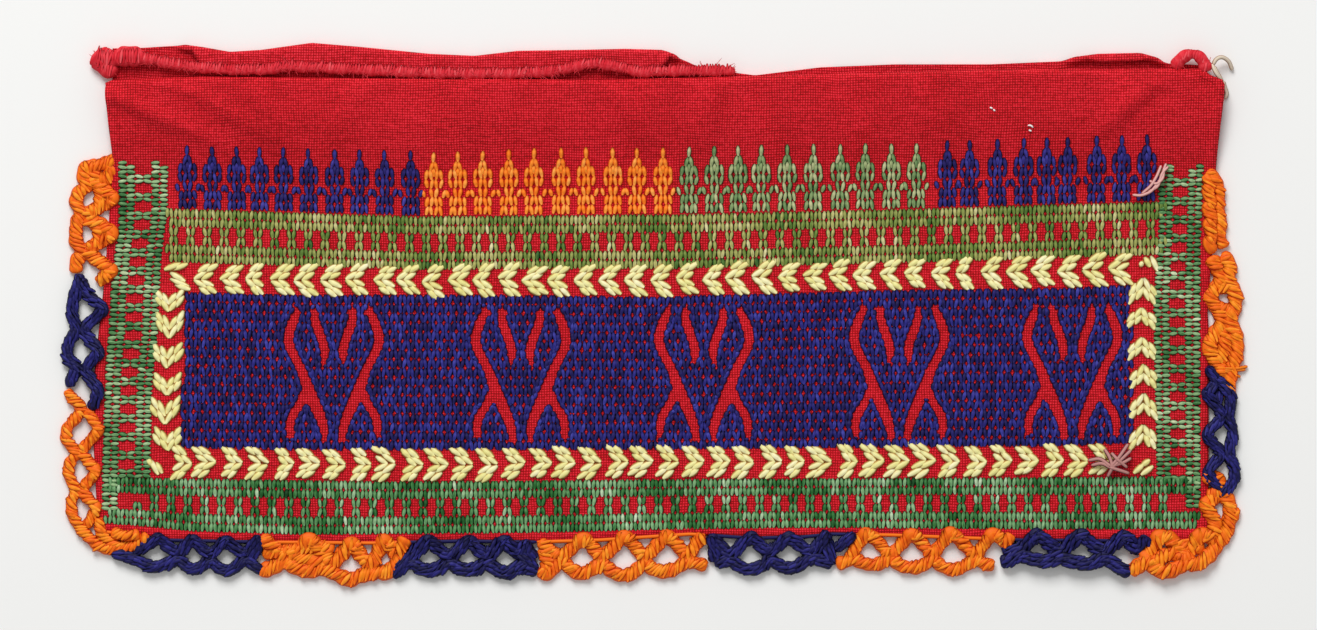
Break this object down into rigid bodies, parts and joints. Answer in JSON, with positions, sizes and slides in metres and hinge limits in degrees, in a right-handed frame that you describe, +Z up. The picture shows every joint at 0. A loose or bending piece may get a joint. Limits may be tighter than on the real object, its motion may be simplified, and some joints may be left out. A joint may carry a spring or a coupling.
{
  "type": "embroidered cloth panel",
  "caption": "Hand-embroidered red cloth panel with chevron and darned borders, a turned top hem and a needle-lace edging, lying flat.",
  "frame": {"origin": "on the surface the panel lies on, below the middle of its outline", "axes": "+X along the long side to the viewer's right, +Y to the turned top hem, +Z up through the embroidered face"},
  "size_m": [0.2363, 0.109, 0.0042],
  "materials": {
    "ground_red": "plain-weave red cotton with embroidery",
    "facing_red": "plain-weave red cotton",
    "raw_edge_red": "frayed and overcast cotton edge",
    "lace_orange": "twisted orange cotton thread, needle lace",
    "lace_blue": "twisted blue cotton thread, needle lace"
  },
  "bodies": {
    "root": {"ground_cloth": "ground_red", "facing_cloth": "facing_red", "whipped_edge": "raw_edge_red", "turned_loop": "facing_red", "lace_left_orange": "lace_orange", "lace_left_blue": "lace_blue", "lace_left_corner": "lace_orange", "lace_bottom_blue_1": "lace_blue", "lace_bottom_orange_1": "lace_orange", "lace_bottom_blue_2": "lace_blue", "lace_bottom_orange_2": "lace_orange", "lace_bottom_blue_3": "lace_blue", "lace_bottom_orange_3": "lace_orange", "lace_bottom_blue_4": "lace_blue", "lace_right_corner": "lace_orange", "lace_right_blue": "lace_blue", "lace_right_orange": "lace_orange", "lace_right_crushed": "lace_orange"}
  },
  "joints": []
}
